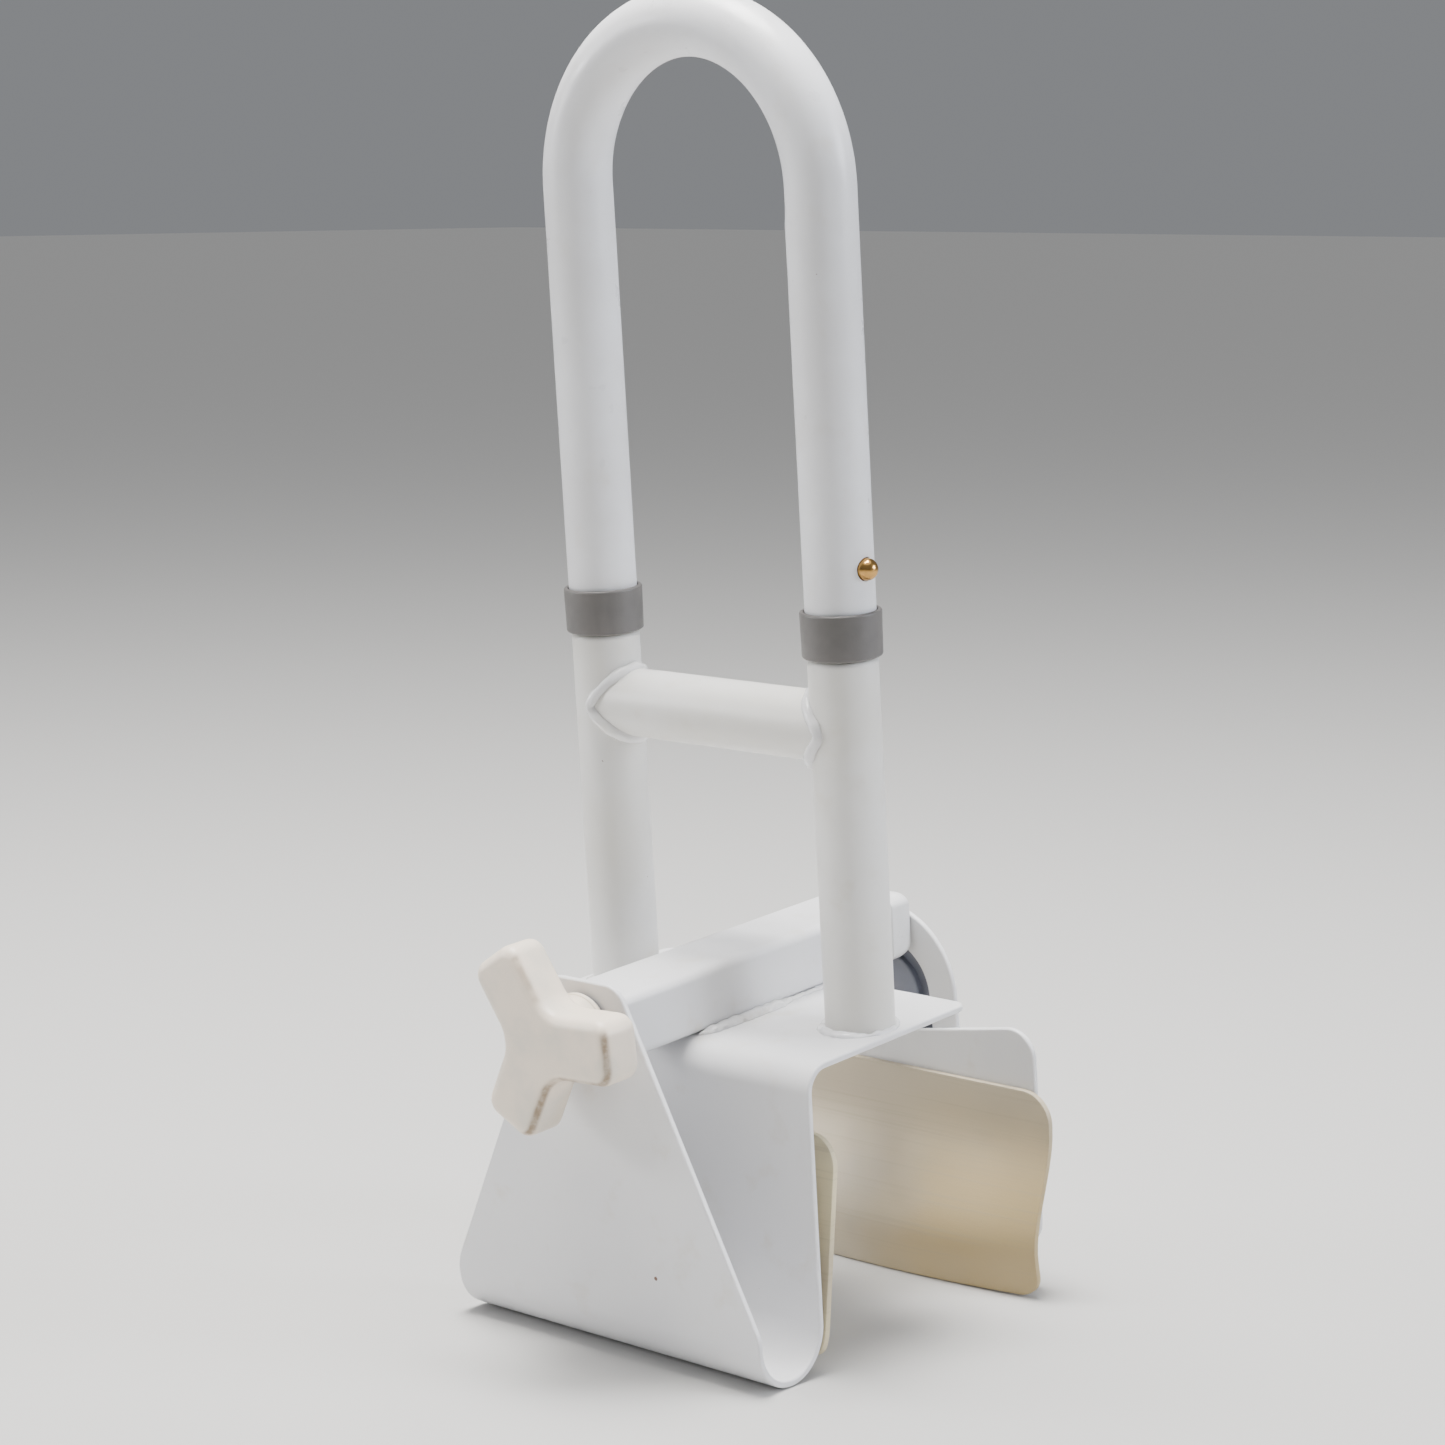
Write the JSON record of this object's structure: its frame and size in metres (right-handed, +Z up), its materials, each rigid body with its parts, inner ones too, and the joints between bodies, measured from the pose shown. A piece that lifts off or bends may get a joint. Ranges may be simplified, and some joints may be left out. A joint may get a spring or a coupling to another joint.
{
  "type": "clamp-on bath grab rail",
  "caption": "Inverted-U grab handle on a bent sheet jaw that hooks over a bath wall and is clamped to it by a lobed knob and a padded rear jaw.",
  "frame": {"origin": "underside of the rim plate, midway between the posts", "axes": "+X across the rail, +Y from the knob to the rear jaw, +Z up along the posts"},
  "size_m": [0.1624, 0.1998, 0.4914],
  "materials": {
    "white_paint": "semi-gloss white powder coat",
    "vinyl": "matt cream vinyl sheet, slightly yellowed",
    "ivory_plastic": "satin ivory moulded plastic",
    "grey_plastic": "satin grey moulded plastic",
    "dark_plastic": "satin dark grey moulded plastic",
    "white_plastic": "white moulded plastic",
    "zinc": "zinc-plated steel",
    "spring_steel": "spring steel",
    "brass": "polished brass"
  },
  "bodies": {
    "frame": {"fixed_jaw": "white_paint", "guide_tube": "white_paint", "guide_tube_bush": "white_plastic", "left_post": "white_paint", "right_post": "white_paint", "crossbar": "white_paint", "left_spigot": "zinc", "right_spigot": "zinc", "left_collar": "grey_plastic", "right_collar": "grey_plastic", "fixed_jaw_pad": "vinyl", "bearing_bush": "white_plastic", "snap_spring": "spring_steel"},
    "hoop": {"hoop": "white_paint"},
    "snap_button": {"snap_button": "brass"},
    "knob": {"knob": "ivory_plastic", "knob_insert": "zinc", "clamp_screw": "zinc", "thrust_washer": "zinc", "screw_collar": "zinc"},
    "rear_jaw": {"slider_tube": "zinc", "clamp_nut": "zinc", "arch_bracket": "white_paint", "rear_plate": "white_paint", "rear_jaw_pad": "vinyl", "rear_cover": "dark_plastic"}
  },
  "joints": [
    {"name": "knob_turn", "type": "hinge", "parent": "frame", "child": "knob", "pos_m": [0, -0.0827, 0.0145], "axis": [0, -1, 0], "range_deg": [0, 13040]},
    {"name": "jaw_slide", "type": "slide", "parent": "frame", "child": "rear_jaw", "axis": [0, 1, 0], "range_m": [0, 0.0575]},
    {"name": "hoop_lift", "type": "slide", "parent": "frame", "child": "hoop", "axis": [0, 0, 1], "range_m": [0, 0.075], "deforming": ["snap_button", "snap_spring"]},
    {"name": "button_press", "type": "slide", "parent": "frame", "child": "snap_button", "axis": [-1, 0, 0], "range_m": [0, 0.006], "stiffness_N_per_m": 300, "springref_m": -0.003, "deforming": ["snap_spring"]}
  ],
  "couplings": [
    {"joint": "knob_turn", "follows": "jaw_slide", "rad_per_m": 3957.9}
  ]
}
